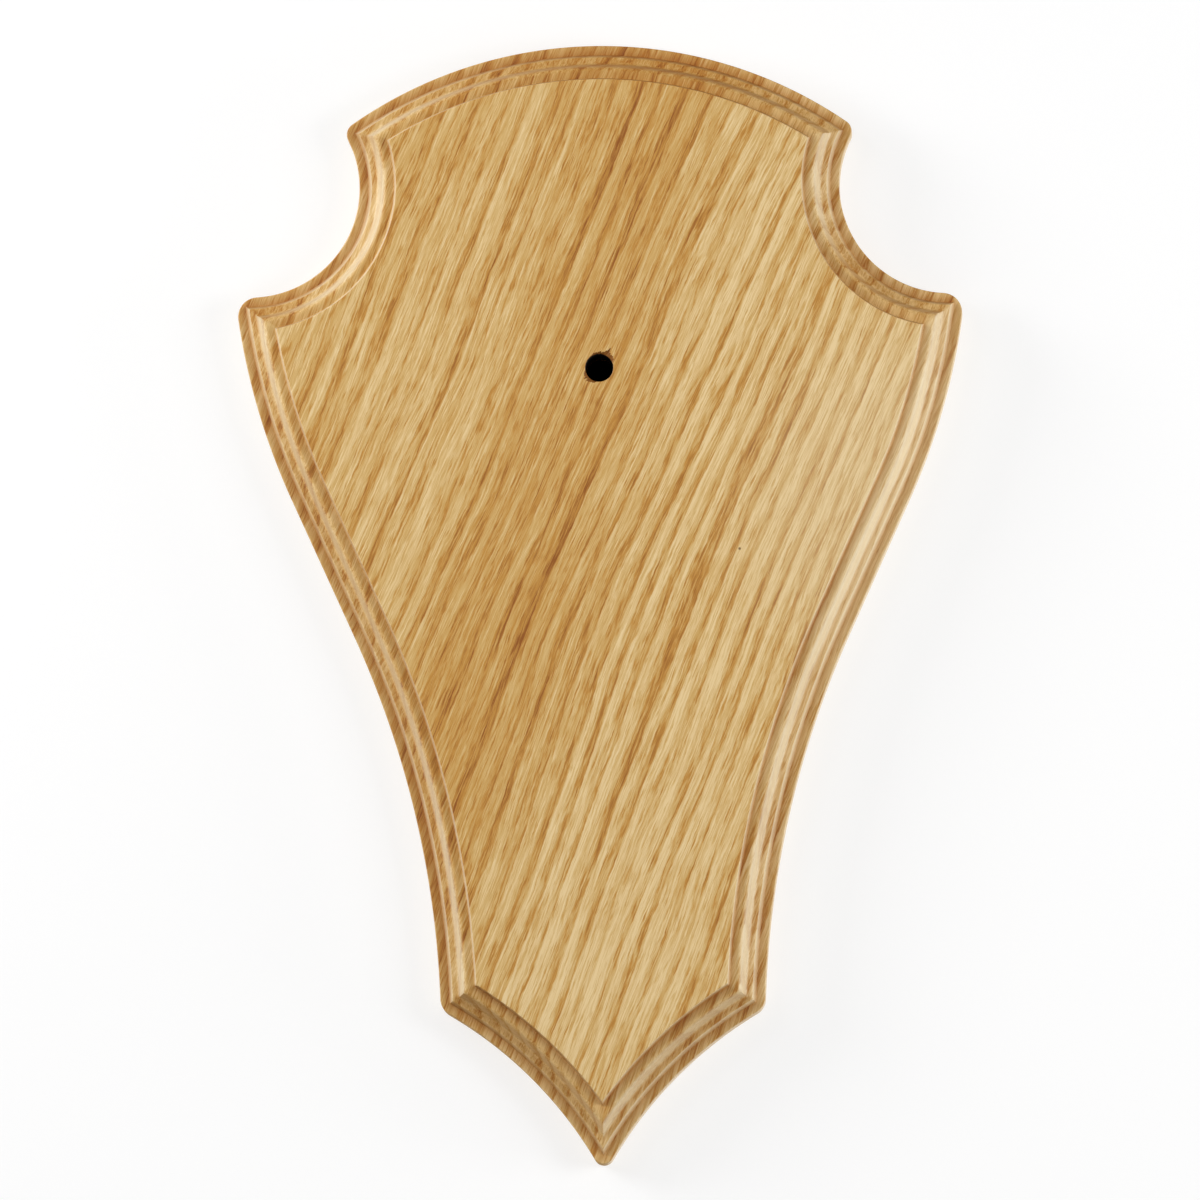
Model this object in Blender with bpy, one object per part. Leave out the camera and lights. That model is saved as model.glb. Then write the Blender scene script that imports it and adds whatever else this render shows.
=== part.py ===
"""Antler mounting plaque: one oak board, sawn to a shield outline and moulded round its face.

The board stands as it hangs: +Z up, +X to the right as seen from the front, the front towards -Y.
Its flat back lies on the plane Y = 0, and the origin is on the back, halfway up and halfway across.

The outline is drawn as a pattern maker draws it. Four sharp corners of the right half, at the ear, the
shoulder, the hip and the tip, are joined by arcs, and the left half mirrors them. Every line of the
moulding is the same outline drawn further in, so its arcs keep their centres and its corners are where
those arcs meet. Lengths are metres and angles are radians.
"""
from math import atan2, cos, hypot, pi, radians, sin, sqrt, tan

import bmesh
import bpy
from mathutils import Vector

# The board
BOARD_THICKNESS = 0.016
PATTERN_HEIGHT = 0.2422        # from the top of the crown to the tip while it is still sharp
HOLE_DIAMETER = 0.006
HOLE_DROP = 0.070              # from the top of the crown to the hole's axis
HOLE_SIDES = 28

# The outline's sharp corners
EAR_SPREAD = 0.1099
EAR_DROP = 0.0180              # below the top of the crown
SHOULDER_SPREAD = 0.1563
SHOULDER_DROP = 0.0534
HIP_SPREAD = 0.0694
HIP_RISE = 0.0357              # above the sharp tip

# The curves between the corners
NOTCH_DEPTH = 0.0135           # how far the notch is scooped in from ear to shoulder
SIDE_LEAN_AT_SHOULDER = radians(6.2)
SIDE_LEAN_AT_HIP = radians(1.4)
SIDE_STRAIGHT = 0.0322         # the straight stretch where the swelling side turns hollow
WAIST_TO_BELLY = 1.43          # radius of the side's hollow curve over that of its swelling one
TIP_HOLLOW = 0.0036            # how far the curve from hip to tip is hollowed

# How the outer edge's corners are rounded
EAR_ROUNDING = 0.0026
SHOULDER_ROUNDING = 0.0042
HIP_ROUNDING = 0.0038
TIP_ROUNDING = 0.0022

# The moulding, from the outer edge inwards and from the ledge up to the face
LEDGE_WIDTH = 0.00205
RIM_ROUNDING = 0.0003
STEP_WIDTH = 0.00065
STEP_DEPTH = 0.0017
OGEE_WIDTH = 0.00355
GENTLE_WIDTH = 0.00095         # the ogee's gentle start, inside the ridge at the top of the step
GENTLE_SLOPE = radians(12)
HOLLOW_RADIUS = 0.0010
STEEP_SLOPE = radians(77)      # the straight between the ogee's hollow and its swelling
SWELL_RADIUS = 0.0013
SHELF_WIDTH = 0.00145          # level, between the ogee and the fillet
FILLET_WIDTH = 0.00035
FILLET_DEPTH = 0.0020
FACE_EASE = 0.00015            # the broken edge round the face
BACK_EASE = 0.0005             # the broken edge round the back

# How finely each curve is divided
CROWN_STEPS = 11
NOTCH_STEPS = 14
BELLY_STEPS = 8
WAIST_STEPS = 8
TIP_STEPS = 7
ROUNDING_STEPS = 4
RIM_STEPS = 2
HOLLOW_STEPS = 4
SWELL_STEPS = 5

# Oak, as sawn and moulded
OAK_COLOUR = (0.61, 0.38, 0.15, 1.0)
OAK_ROUGHNESS = 0.55

SWELLING = 1                   # an arc whose centre is inside the board
HOLLOW = -1                    # an arc whose centre is outside it
MERGE_DISTANCE = 1e-7
LEAN_TRIES = 60


class Arc:
    """One circular stretch of the outline. Drawn further in, a swelling arc shrinks and a hollow one grows."""

    def __init__(self, centre, radius, side):
        self.centre = centre
        self.radius = radius
        self.side = side

    def radius_at(self, inset):
        return self.radius - self.side * inset

    def angle_of(self, point):
        return atan2(point[1] - self.centre[1], point[0] - self.centre[0])

    def outward_at(self, point):
        """Direction out of the board where the arc passes the point."""
        return self.angle_of(point) if self.side == SWELLING else self.angle_of(point) + pi

    def mirrored(self):
        return Arc((-self.centre[0], self.centre[1]), self.radius, self.side)


def hollow_between(start, end, depth):
    """Hollow arc between two corners, met clockwise, scooped in from their chord by depth."""
    chord = hypot(end[0] - start[0], end[1] - start[1])
    radius = (chord * chord / 4 + depth * depth) / (2 * depth)
    outward = (-(end[1] - start[1]) / chord, (end[0] - start[0]) / chord)
    reach = radius - depth
    centre = ((start[0] + end[0]) / 2 + outward[0] * reach, (start[1] + end[1]) / 2 + outward[1] * reach)
    return Arc(centre, radius, HOLLOW)


def side_curves(shoulder, hip):
    """The side's swelling and hollow arcs, and the lean of the straight stretch that touches both.

    The lean that makes the two arcs and the straight stretch end at the hip is found by halving.
    """
    across = shoulder[0] - hip[0]
    down = shoulder[1] - hip[1]
    least = max(SIDE_LEAN_AT_SHOULDER, SIDE_LEAN_AT_HIP)
    most = pi / 2
    for _ in range(LEAN_TRIES):
        lean = (least + most) / 2
        fall = (sin(lean) - sin(SIDE_LEAN_AT_SHOULDER)) + WAIST_TO_BELLY * (sin(lean) - sin(SIDE_LEAN_AT_HIP))
        draw_in = (cos(SIDE_LEAN_AT_SHOULDER) - cos(lean)) + WAIST_TO_BELLY * (cos(SIDE_LEAN_AT_HIP) - cos(lean))
        belly_radius = (down - SIDE_STRAIGHT * cos(lean)) / fall
        if belly_radius * draw_in + SIDE_STRAIGHT * sin(lean) < across:
            least = lean
        else:
            most = lean
    waist_radius = WAIST_TO_BELLY * belly_radius
    belly_centre = (shoulder[0] - belly_radius * cos(SIDE_LEAN_AT_SHOULDER),
                    shoulder[1] + belly_radius * sin(SIDE_LEAN_AT_SHOULDER))
    waist_centre = (hip[0] + waist_radius * cos(SIDE_LEAN_AT_HIP), hip[1] - waist_radius * sin(SIDE_LEAN_AT_HIP))
    return Arc(belly_centre, belly_radius, SWELLING), Arc(waist_centre, waist_radius, HOLLOW), lean


def meeting(first, second, inset, corner):
    """Where two neighbouring arcs meet when both are drawn further in, nearest to their sharp corner."""
    first_radius = first.radius_at(inset)
    second_radius = second.radius_at(inset)
    away = (second.centre[0] - first.centre[0], second.centre[1] - first.centre[1])
    gap = hypot(*away)
    along = (first_radius ** 2 - second_radius ** 2 + gap ** 2) / (2 * gap)
    beside = sqrt(first_radius ** 2 - along ** 2)
    unit = (away[0] / gap, away[1] / gap)
    foot = (first.centre[0] + unit[0] * along, first.centre[1] + unit[1] * along)
    both = [(foot[0] - unit[1] * turn, foot[1] + unit[0] * turn) for turn in (beside, -beside)]
    return min(both, key=lambda point: hypot(point[0] - corner[0], point[1] - corner[1]))


def swept(centre, radius, start, end, steps):
    """Points on a circle from one direction to another, the short way round."""
    turn = (end - start + pi) % (2 * pi) - pi
    angles = [start + turn * step / steps for step in range(steps + 1)]
    return [(centre[0] + radius * cos(angle), centre[1] + radius * sin(angle)) for angle in angles]


class Outline:
    """The board's outline, which can be drawn at any distance in from the edge."""

    def __init__(self):
        tip_height = -PATTERN_HEIGHT
        self.ear = (EAR_SPREAD / 2, -EAR_DROP)
        self.shoulder = (SHOULDER_SPREAD / 2, -SHOULDER_DROP)
        self.hip = (HIP_SPREAD / 2, tip_height + HIP_RISE)
        self.tip = (0.0, tip_height)
        crown_radius = (self.ear[0] ** 2 + EAR_DROP ** 2) / (2 * EAR_DROP)
        self.crown = Arc((0.0, -crown_radius), crown_radius, SWELLING)
        self.notch = hollow_between(self.ear, self.shoulder, NOTCH_DEPTH)
        self.belly, self.waist, self.lean = side_curves(self.shoulder, self.hip)
        self.point = hollow_between(self.hip, self.tip, TIP_HOLLOW)

    def right_half(self, inset, rounded):
        """Points from the crown's middle to the tip. rounded is 1 at the outer edge and 0 where corners are sharp.

        A rounded corner is an arc about the point where its neighbours meet when drawn in by its radius.
        """
        radii = [rounding * rounded for rounding in (EAR_ROUNDING, SHOULDER_ROUNDING, HIP_ROUNDING, TIP_ROUNDING)]
        ear = meeting(self.crown, self.notch, inset + radii[0], self.ear)
        shoulder = meeting(self.notch, self.belly, inset + radii[1], self.shoulder)
        hip = meeting(self.waist, self.point, inset + radii[2], self.hip)
        tip = meeting(self.point, self.point.mirrored(), inset + radii[3], self.tip)

        def stretch(arc, start, end, steps):
            return swept(arc.centre, arc.radius_at(inset), start, end, steps)

        def corner(centre, radius, before, after):
            return swept(centre, radius, before, after, ROUNDING_STEPS)[1:-1]

        points = stretch(self.crown, pi / 2, self.crown.angle_of(ear), CROWN_STEPS)
        points += corner(ear, radii[0], self.crown.outward_at(ear), self.notch.outward_at(ear))
        points += stretch(self.notch, self.notch.angle_of(ear), self.notch.angle_of(shoulder), NOTCH_STEPS)
        points += corner(shoulder, radii[1], self.notch.outward_at(shoulder), self.belly.outward_at(shoulder))
        points += stretch(self.belly, self.belly.angle_of(shoulder), -self.lean, BELLY_STEPS)
        points += stretch(self.waist, pi - self.lean, self.waist.angle_of(hip), WAIST_STEPS)
        points += corner(hip, radii[2], self.waist.outward_at(hip), self.point.outward_at(hip))
        points += stretch(self.point, self.point.angle_of(hip), self.point.angle_of(tip), TIP_STEPS)
        points += swept(tip, radii[3], self.point.outward_at(tip), -pi / 2, ROUNDING_STEPS)[1:]
        return points

    def ring(self, inset, rounded):
        """The whole closed outline, clockwise from the crown's middle."""
        right = self.right_half(inset, rounded)
        left = [(-across, height) for across, height in reversed(right[1:-1])]
        return right + left


def spread(first, last, steps):
    """Evenly spaced values from first to last, both included."""
    return [first + (last - first) * step / steps for step in range(steps + 1)]


def ogee():
    """The double curve from the ridge at (0, 0): a gentle start, a hollow, a steep straight and a swelling."""
    gentle_rise = GENTLE_WIDTH * tan(GENTLE_SLOPE)
    run = [(GENTLE_WIDTH + HOLLOW_RADIUS * (sin(slope) - sin(GENTLE_SLOPE)),
            gentle_rise + HOLLOW_RADIUS * (cos(GENTLE_SLOPE) - cos(slope)))
           for slope in spread(GENTLE_SLOPE, STEEP_SLOPE, HOLLOW_STEPS)]
    straight_width = OGEE_WIDTH - run[-1][0] - SWELL_RADIUS * sin(STEEP_SLOPE)
    rise = run[-1][1] + straight_width * tan(STEEP_SLOPE)
    run += [(OGEE_WIDTH - SWELL_RADIUS * sin(slope), rise + SWELL_RADIUS * (cos(slope) - cos(STEEP_SLOPE)))
            for slope in spread(STEEP_SLOPE, 0.0, SWELL_STEPS)]
    return run


def moulding_section():
    """The edge in section, from the back round to the face, as (distance in, height above the back)."""
    curve = ogee()
    shelf_height = BOARD_THICKNESS - FILLET_DEPTH
    ridge_height = shelf_height - curve[-1][1]
    ledge_height = ridge_height - STEP_DEPTH
    section = [(BACK_EASE, 0.0), (0.0, BACK_EASE)]
    rim_centre = (RIM_ROUNDING, ledge_height - RIM_ROUNDING)
    section += swept(rim_centre, RIM_ROUNDING, pi, pi / 2, RIM_STEPS)
    section.append((LEDGE_WIDTH, ledge_height))

    ridge_inset = LEDGE_WIDTH + STEP_WIDTH
    section.append((ridge_inset, ridge_height))
    section += [(ridge_inset + across, ridge_height + up) for across, up in curve]

    fillet_foot = ridge_inset + OGEE_WIDTH + SHELF_WIDTH
    section.append((fillet_foot, shelf_height))
    fillet_slope = Vector((FILLET_WIDTH, FILLET_DEPTH)).normalized() * FACE_EASE
    face_inset = fillet_foot + FILLET_WIDTH
    section.append((face_inset - fillet_slope.x, BOARD_THICKNESS - fillet_slope.y))
    section.append((face_inset + FACE_EASE, BOARD_THICKNESS))
    return section


def extruded_ring(bm, ring, places):
    """Extrude a closed ring of vertices and set the new ones in their places, in the same order."""
    edges = [bm.edges.get((ring[index - 1], ring[index])) for index in range(len(ring))]
    made = bmesh.ops.extrude_edge_only(bm, edges=edges)["geom"]
    fresh = {item for item in made if isinstance(item, bmesh.types.BMVert)}
    following = []
    for vert, place in zip(ring, places):
        copy = next(edge.other_vert(vert) for edge in vert.link_edges if edge.other_vert(vert) in fresh)
        copy.co = place
        following.append(copy)
    return following


def board_rings():
    """The moulding's rings of places in the board's frame, from the back to the face."""
    outline = Outline()
    edge_heights = [height for _, height in outline.right_half(0.0, 1.0)]
    middle = (max(edge_heights) + min(edge_heights)) / 2
    rings = []
    for inset, height in moulding_section():
        rounded = max(0.0, 1.0 - inset / LEDGE_WIDTH)
        ring = outline.ring(inset, rounded)
        rings.append([Vector((across, -height, up - middle)) for across, up in ring])
    return rings, middle


def oak():
    """Pale oak, the same right through the board."""
    material = bpy.data.materials.new("oak")
    material.use_nodes = True
    shader = material.node_tree.nodes["Principled BSDF"]
    shader.inputs["Base Color"].default_value = OAK_COLOUR
    shader.inputs["Roughness"].default_value = OAK_ROUGHNESS
    shader.inputs["Metallic"].default_value = 0.0
    return material


def hole_cutter(middle):
    """The drill's path, straight through the board and well past both faces."""
    bm = bmesh.new()
    bmesh.ops.create_cone(bm, cap_ends=True, segments=HOLE_SIDES, radius1=HOLE_DIAMETER / 2,
                          radius2=HOLE_DIAMETER / 2, depth=3 * BOARD_THICKNESS)
    mesh = bpy.data.meshes.new("hole_cutter")
    bm.to_mesh(mesh)
    bm.free()
    cutter = bpy.data.objects.new("hole_cutter", mesh)
    cutter.location = (0.0, -BOARD_THICKNESS / 2, -HOLE_DROP - middle)
    cutter.rotation_euler = (pi / 2, 0.0, 0.0)
    cutter.display_type = "WIRE"
    cutter.hide_render = True
    bpy.context.collection.objects.link(cutter)
    return cutter


def plaque():
    """The board: rings from the back to the face, closed by a flat back and a flat face, with its hole cut."""
    rings, middle = board_rings()
    bm = bmesh.new()
    ring = [bm.verts.new(place) for place in rings[0]]
    for index in range(len(ring)):
        bm.edges.new((ring[index - 1], ring[index]))
    for places in rings[1:]:
        ring = extruded_ring(bm, ring, places)
    bmesh.ops.remove_doubles(bm, verts=bm.verts, dist=MERGE_DISTANCE)
    bmesh.ops.holes_fill(bm, edges=bm.edges)
    bmesh.ops.recalc_face_normals(bm, faces=bm.faces)
    mesh = bpy.data.meshes.new("plaque")
    bm.to_mesh(mesh)
    bm.free()
    mesh.shade_smooth()
    mesh.set_sharp_from_angle(angle=radians(30))
    mesh.materials.append(oak())
    board = bpy.data.objects.new("plaque", mesh)
    bpy.context.collection.objects.link(board)

    drilled = board.modifiers.new("hole", "BOOLEAN")
    drilled.operation = "DIFFERENCE"
    drilled.solver = "EXACT"
    drilled.object = hole_cutter(middle)
    return board


def main():
    for item in list(bpy.data.objects):
        bpy.data.objects.remove(item)
    plaque()


main()
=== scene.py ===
"""Looks of the antler mounting plaque: a moulded oak board, its grain, its drilled hole and a pale studio.

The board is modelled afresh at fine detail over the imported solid, on the same outline and moulding.
Its oak is one solid wood: rings, pores and fibres run right through, so each cut shows its own figure.
"""

from collections import namedtuple
from math import atan2, ceil, cos, hypot, pi, radians, sin, sqrt, tan

import bmesh
import bpy
from bpy.props import FloatProperty, FloatVectorProperty, PointerProperty
from mathutils import Matrix, Vector, noise


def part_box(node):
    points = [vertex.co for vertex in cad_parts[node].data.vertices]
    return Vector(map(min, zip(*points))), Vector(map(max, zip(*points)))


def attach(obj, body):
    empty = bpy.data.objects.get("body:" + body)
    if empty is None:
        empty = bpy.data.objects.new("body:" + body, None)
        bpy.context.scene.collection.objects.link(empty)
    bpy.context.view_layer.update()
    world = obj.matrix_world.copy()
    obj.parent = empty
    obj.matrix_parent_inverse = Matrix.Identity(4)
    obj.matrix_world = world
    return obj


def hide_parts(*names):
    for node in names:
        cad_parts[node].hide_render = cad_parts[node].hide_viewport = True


bl_info = {
    "name": "Antler Mounting Plaque",
    "version": (1, 0, 0),
    "blender": (4, 5, 0),
    "location": "3D View > Sidebar > Plaque",
    "description": "Makes a moulded oak antler plaque and the studio it is shown in",
    "category": "Object",
}

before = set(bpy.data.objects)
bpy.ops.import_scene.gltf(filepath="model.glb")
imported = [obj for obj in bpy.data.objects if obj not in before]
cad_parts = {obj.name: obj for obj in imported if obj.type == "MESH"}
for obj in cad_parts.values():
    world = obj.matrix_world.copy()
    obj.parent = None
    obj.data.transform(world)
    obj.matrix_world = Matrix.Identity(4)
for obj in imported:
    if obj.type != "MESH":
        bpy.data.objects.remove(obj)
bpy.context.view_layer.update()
BOARD_LOW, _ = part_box("plaque")

SWELLING = 1                   # an arc whose centre is inside the board
HOLLOW = -1                    # an arc whose centre is outside it
MERGE_DISTANCE = 1e-7
HAIR = 0.00005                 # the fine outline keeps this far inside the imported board's flats
LEAN_TRIES = 60
SHARP_ANGLE = radians(38)      # faces that meet more sharply than this keep a hard edge
BACK_LEVEL = 0.004             # below this height above the back the edge is plain
MM = 1000.0                    # millimetres in a metre, for patterns that are worked out in millimetres

# The drilled hole, the wood that the drill tore, and painted shade deep in the hole
HOLE_SIDES = 192
HOLE_EASE = 0.0002
HOLE_BORDERS = (0.0004, 0.00008)                 # rings on the face outside the hole's rim
ROUGH_WALL = 0.00004           # how uneven the hole's wall is
ROUGH_ROUND = 7.0              # how quickly that changes round the hole
ROUGH_DOWN = 900.0             # how quickly it changes down the hole, per metre
CHIPS = (                      # where the drill lifted the wood, from +X towards +Z: angle, spread, reach
    (radians(60), radians(15), 0.0013),
    (radians(80), radians(50), 0.0004),
    (radians(40), radians(18), 0.0007),
    (radians(225), radians(36), 0.0007),
)
CHIP_DEPTHS = (0.0, 0.00012, 0.00025, 0.00038, 0.0005, 0.0009)
CHIP_FLOOR = 0.0005            # how deep the torn wood goes
CHIP_UNEVENNESS = 1.1
CHIP_NOTCHES = 11.0            # how quickly the torn rim changes, per radian
SCORCH_AND_SHADE_LEVEL = 0.40            # how dark the hole's wall is, from scorch and painted shade
SCORCH_AND_SHADE_UNEVENNESS = 0.32
SCORCH_AND_SHADE_PATCHES = 2500.0        # how quickly that changes, per metre
HOLE_SHADE_DEEPENS = 0.8           # the share of the torn wood's depth where painted shade starts to turn the wall black
WALL_END_SCORCH_AND_SHADE = 0.45         # how dark the wall is where it reaches the back, from scorch and painted shade
BACK_SCORCH = ((0.0002, 0.2), (0.0006, 0.0))     # how far out from the hole on the back, how dark

# What the finish has done to the moulding, and painted shade on it, kept as attributes of the mesh
SHADE_AND_FINISH = "finish_and_painted_shade"     # how much finish has gathered at a point, and painted shade in corners and on edges facing right and down
SOAK_AND_LOW_SHADE = "soaked_ends_and_low_shade"         # how much finish the wood has drunk, and painted shade on edges that face down
SCORCH_AND_HOLE_SHADE = "scorch_and_hole_shade"          # how dark the drill has left the wood, and painted shade deep in the hole
FACING_SHADE_LEVEL = 0.95             # how much finish and painted shade stays on an edge that faces neither right nor down
SHADE_FACING_RIGHT = 0.6              # how much more painted shade there is on edges that face right
SHADE_FACING_DOWN = 0.95              # how much more painted shade there is on edges that face down
FACING_SHADE_LEAST = 0.1
FACING_SHADE_MOST = 2.0
SQUARE_FROM = 0.55             # how squarely the edge cuts the fibres where the wood starts to drink
SQUARE_RANGE = 0.35
LOW_SHADE_FROM = 0.45                # how far down the edge faces where the painted shade starts
LOW_SHADE_RANGE = 0.3
LOW_SHADE_MOST = 0.8
LEDGE_SOAK_AND_SHADE = 0.4               # the ledge's share of what the curves and the shelf drink, and of their painted shade

# The oak's patterns: cells per millimetre across and along the fibres, levels of detail, roughness
Figure = namedtuple("Figure", "fine long detail roughness")
STREAKS = Figure(0.85, 0.022, 3.0, 0.6)
FIBRES = Figure(3.3, 0.11, 3.0, 0.75)
PORES = Figure(2.6, 0.19, 2.0, 0.6)
BROAD_CLOUDS = Figure(0.016, 0.010, 2.0, 0.5)
WANDERS = (                    # how the grain wanders from side to side: pattern, reach in millimetres
    (Figure(0.020, 0.012, 1.0, 0.5), 7.0),
    (Figure(0.10, 0.035, 2.0, 0.5), 1.8),
    (Figure(1.3, 0.42, 2.0, 0.6), 0.38),
)
GRAIN_BEND = 0.00014           # sideways bend of the grain, per millimetre along it squared

# Growth rings, in years
YEAR_UNEVENNESS = 1.3          # how far the years' widths differ
YEAR_PATTERN_SCALE = 0.45      # how quickly they change from year to year
WEAKEST_YEAR = 0.45            # how strong the faintest porous band is
BAND_RISE = (0.25, 0.86)       # the part of a year in which the porous band sets in
BAND_END = (0.90, 1.0)         # the part in which it stops

# Pores: how they crowd, and how strong the noise is where their lining and their dark core show
BAND_CROWDING = 0.13
STREAK_CROWDING = 0.25
LINING = (0.53, 0.68)
CORE = (0.64, 0.78)

# What makes the wood darker, from 0 at its palest to 1
TONE_LEVEL = 0.18
BAND_MIDDLE = 0.30
BAND_TONE = 0.25
STREAK_TONE = 0.48
BROAD_TONE = 0.38
FIBRE_TONE = 1.28
LINING_TONE = 0.19
CORE_TONE = 0.16
LEFT_FADE = (-60.0, 12.0)      # across the fibres, in millimetres: where the darker left ends; the paler right is partly painted light
DARK_STREAK_PLACE = 18.0       # how far left of the middle the dark streak runs, in millimetres
DARK_STREAK_LEAN = 0.10
DARK_STREAK_FADE = (3.0, 29.0)
LATEWOOD_TONE = 0.30
EARLYWOOD_TONE = 0.55

# How each way of cutting the wood shows; the side cut's paler colour is partly painted sheen
END_GRAIN = (0.45, 0.95)       # how squarely a face cuts the fibres, from where it starts to show
SIDE_CUT_AND_SHEEN = (0.25, 0.85)
END_GRAIN_COVER = 0.40         # how far the end grain's own colour covers the figure
SIDE_CUT_AND_SHEEN_COVER = 0.65
END_GRAIN_CALM = 0.65          # how much fainter fibres and pores are there

# Pale wood and painted light near the right-hand edge, marks on the face, scorched wood and painted shade,
# the finish
PALE_AND_LIT_PLACE = Vector((0.074, BOARD_LOW.y, 0.018))
PALE_AND_LIT_FADE = (0.020, 0.056)
PALE_AND_LIT_COVER = 0.18
MARKS = (                      # how far right, how far up, radius, strength
    (0.0298, 0.0110, 0.0003, 0.9),
)
MARK_EDGE = (0.4, 1.4)         # where a mark fades, in shares of its radius
BROWNED = (0.0, 0.25)          # how dark the wood is, from scorch and painted shade, where its colour turns brown
BLACKENED_AND_SHADED = (0.5, 1.0)         # and where it turns black; deep in the hole this is painted shade
FINISH_IOR = 1.45

# The stage
SENSOR_WIDTH = 36.0            # of the camera, in millimetres
FARTHEST_SEEN = 100.0
BACKDROP_GAP = 0.0005          # from the board's back to the pale sheet behind it
BACKDROP_REACH = 0.6           # from the sheet's middle to its edges
BACKDROP_GREY = (0.34, 0.34, 0.34)
BACKDROP_GLOW = 0.69           # how much of the sheet's white is its own light, so that shadows stay faint
BLACK = (0.0, 0.0, 0.0)
WHITE = (1.0, 1.0, 1.0, 1.0)
HOLE_SHADOW_SPOT = (0.0045, 0.0050)   # radii between which the painted shadow behind the hole ends
SEEN_SURROUNDINGS = 0.95       # how bright the surroundings look where the camera sees them
LIGHTS_AIM = Vector((0.0, -0.008, 0.0))          # halfway through the board
LIGHT_DISTANCE = 0.9
LIGHT_SIZE = 0.35
LIGHTS = (                     # name, side, rise from the face's plane, turn upwards, strength
    ("soft_light_left", -1, radians(25), radians(18), 10.0),
    ("soft_light_left_low", -1, radians(12), radians(35), 4.2),
    ("soft_light_right_low", 1, radians(12), radians(-8), 7.2),
    ("soft_light_right", 1, radians(45), 0.0, 5.6),
    ("soft_light_above", -1, radians(55), radians(40), 2.0),
)


def size(name, description, default):
    """A length that a user can set, in metres."""
    return FloatProperty(name=name, description=description, default=default, unit="LENGTH", precision=5)


def share(name, description, default):
    """A plain number that a user can set."""
    return FloatProperty(name=name, description=description, default=default)


def turn(name, description, degrees):
    """An angle that a user can set."""
    return FloatProperty(name=name, description=description, default=radians(degrees), subtype="ANGLE")


def colour(name, description, default):
    """A colour that a user can set."""
    return FloatVectorProperty(name=name, description=description, default=default, subtype="COLOR",
                               size=3, min=0.0, max=1.0)


class PlaqueOutline(bpy.types.PropertyGroup):
    """The board's outline: four sharp corners of its right half, joined by arcs, then rounded."""

    thickness: size("Thickness", "From the back to the face", -BOARD_LOW.y)
    pattern_height: size("Pattern height", "From the crown to the tip while it is sharp", 0.2422)
    ear_spread: size("Ear spread", "Across the upper pair of corners", 0.1099)
    ear_drop: size("Ear drop", "From the crown down to the ears", 0.0180)
    shoulder_spread: size("Shoulder spread", "Across the widest pair of corners", 0.1563)
    shoulder_drop: size("Shoulder drop", "From the crown down to the shoulders", 0.0534)
    hip_spread: size("Hip spread", "Across the lowest pair of corners", 0.0694)
    hip_rise: size("Hip rise", "From the sharp tip up to the hips", 0.0357)
    notch_depth: size("Notch depth", "How far the notch is scooped in", 0.0135)
    shoulder_lean: turn("Lean at the shoulder", "How far the side leans in just under the shoulder", 6.2)
    hip_lean: turn("Lean at the hip", "How far the side leans in just above the hip", 1.4)
    side_straight: size("Side straight", "The stretch where the swelling side turns hollow", 0.0322)
    waist_to_belly: share("Waist to belly", "Radius of the side's hollow curve over its swelling one", 1.43)
    tip_hollow: size("Tip hollow", "How far the curve from hip to tip is hollowed", 0.0036)
    ear_rounding: size("Ear rounding", "Radius of the outer edge at the ears", 0.0026)
    shoulder_rounding: size("Shoulder rounding", "Radius of the outer edge at the shoulders", 0.0042)
    hip_rounding: size("Hip rounding", "Radius of the outer edge at the hips", 0.0038)
    tip_rounding: size("Tip rounding", "Radius of the outer edge at the tip", 0.0022)
    hole_diameter: size("Hole diameter", "The drilled screw hole", 0.006)
    hole_drop: size("Hole drop", "From the crown down to the hole's axis", 0.070)


class PlaqueMoulding(bpy.types.PropertyGroup):
    """The edge in section, from the outer edge inwards and from the ledge up to the face."""

    ledge_width: size("Ledge width", "The flat ledge outside the step", 0.00205)
    rim_rounding: size("Rim rounding", "Radius of the ledge's outer edge", 0.0003)
    step_width: size("Step width", "How far the step leans in", 0.00065)
    step_depth: size("Step depth", "Height of the step above the ledge", 0.0017)
    ogee_width: size("Ogee width", "Width of the double curve", 0.00355)
    gentle_width: size("Gentle width", "Width of the double curve's gentle start", 0.00095)
    gentle_slope: turn("Gentle slope", "Slope of the double curve's gentle start", 12)
    hollow_radius: size("Hollow radius", "Radius of the double curve's hollow", 0.0010)
    steep_slope: turn("Steep slope", "Slope of the straight between hollow and swelling", 77)
    swell_radius: size("Swell radius", "Radius of the double curve's swelling", 0.0013)
    shelf_width: size("Shelf width", "The level shelf under the face's edge", 0.00145)
    fillet_width: size("Fillet width", "How far the fillet under the face leans in", 0.00035)
    fillet_depth: size("Fillet depth", "Height of the fillet", 0.0020)
    face_ease: size("Face ease", "The broken edge round the face", 0.00015)
    back_ease: size("Back ease", "The broken edge round the back", 0.0005)
    ridge_ease: size("Ridge ease", "The broken edge along the top of the step", 0.00018)
    spacing: size("Spacing", "Distance between the points that follow the outline", 0.0007)


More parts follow.
